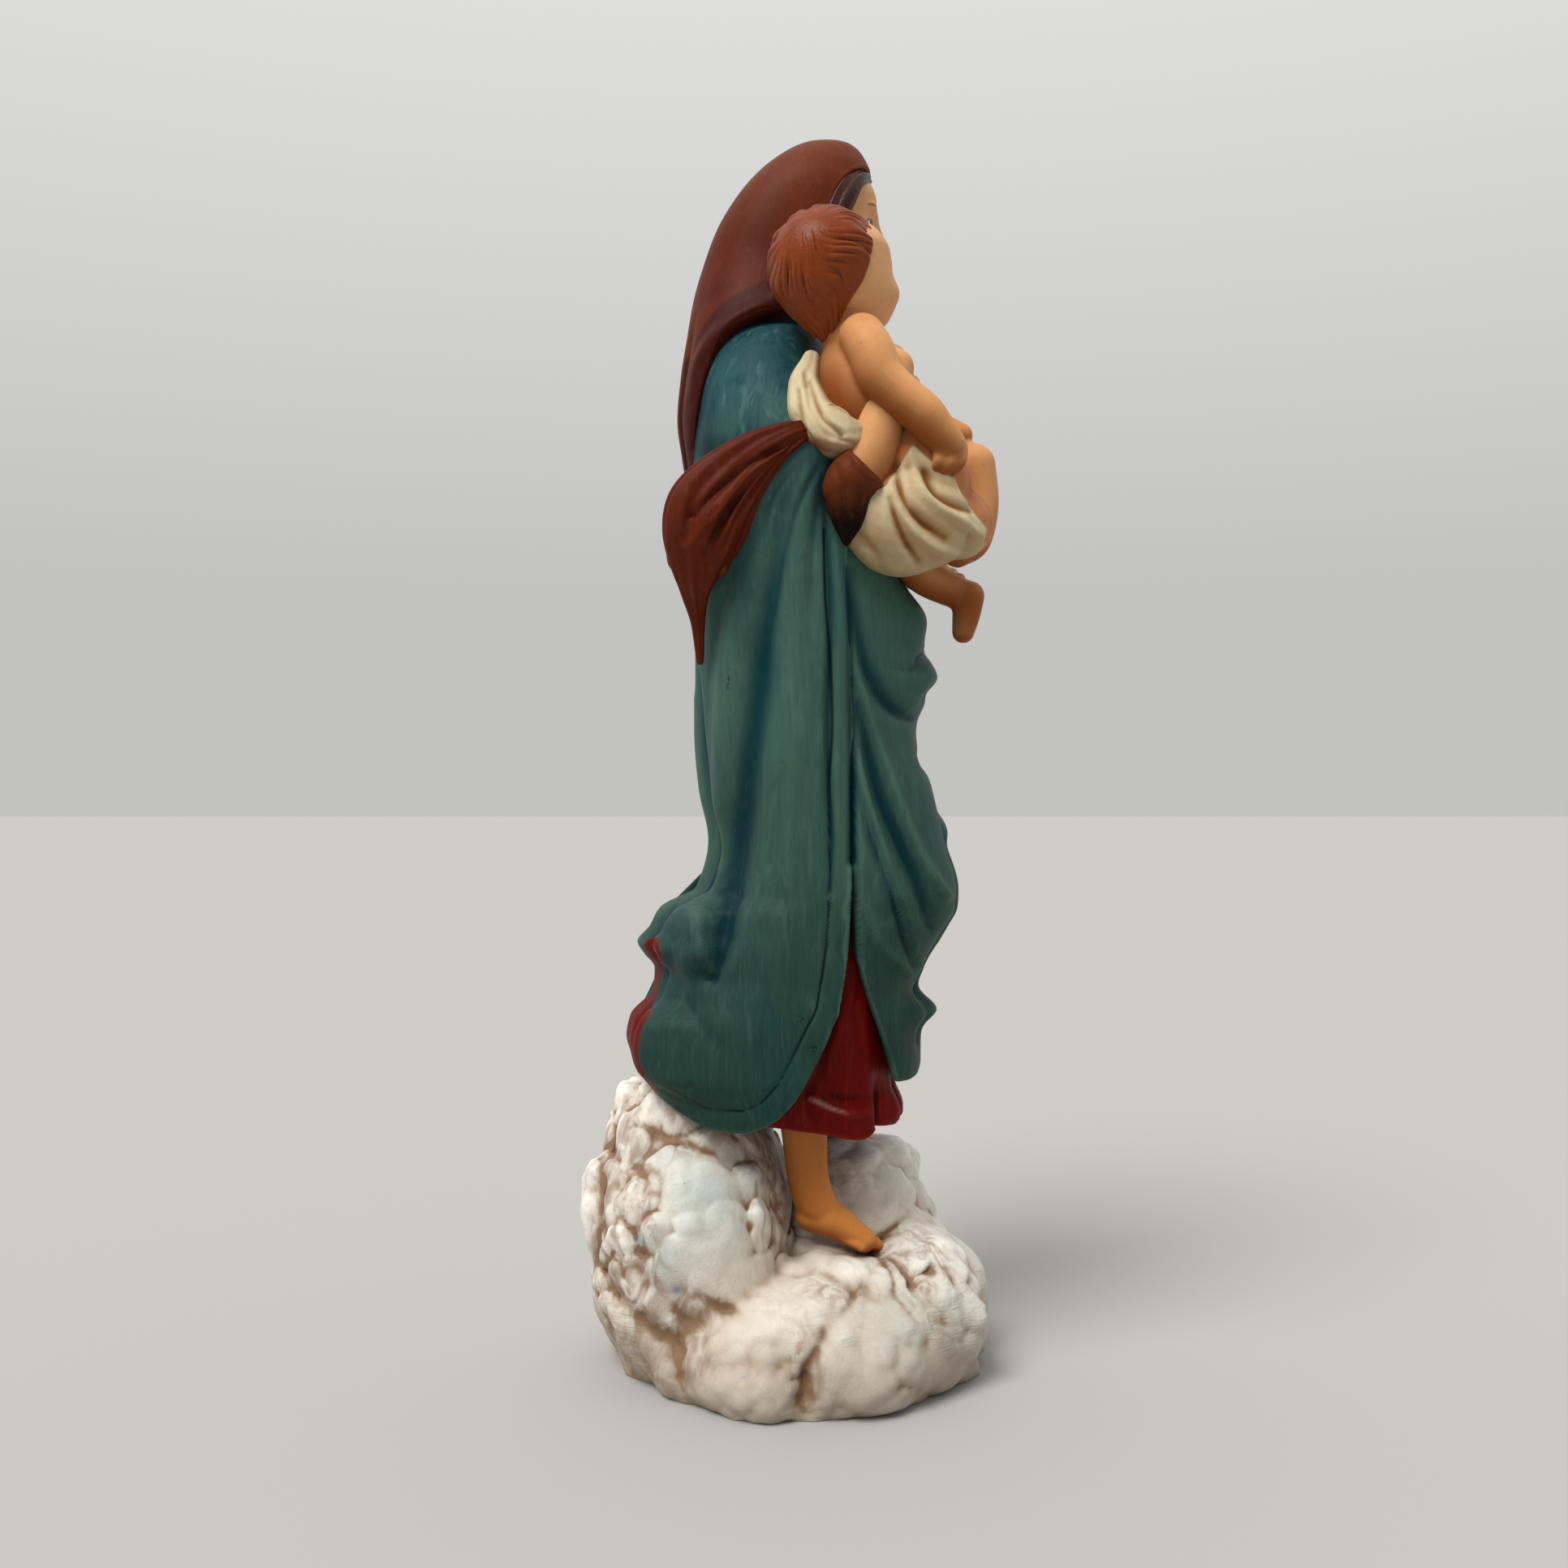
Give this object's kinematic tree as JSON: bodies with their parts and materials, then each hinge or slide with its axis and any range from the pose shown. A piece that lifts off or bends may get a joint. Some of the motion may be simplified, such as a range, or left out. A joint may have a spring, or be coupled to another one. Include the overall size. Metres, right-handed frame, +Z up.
{
  "type": "virgin and child statue",
  "caption": "Painted bisque porcelain figurine of a veiled virgin who stands barefoot on a cloud and carries a child on her right arm.",
  "frame": {"origin": "on the flat underside, under the middle of the cloud it stands on", "axes": "+Z up, -Y towards the virgin's front, +X towards her left"},
  "size_m": [0.0866, 0.0936, 0.2788],
  "materials": {
    "painted_bisque": "matt hand-painted bisque, teal mantle, rust veil, red dress, flesh, cream cloth and a white cloud"
  },
  "bodies": {
    "root": {"virgin_and_child": "painted_bisque"}
  },
  "joints": []
}
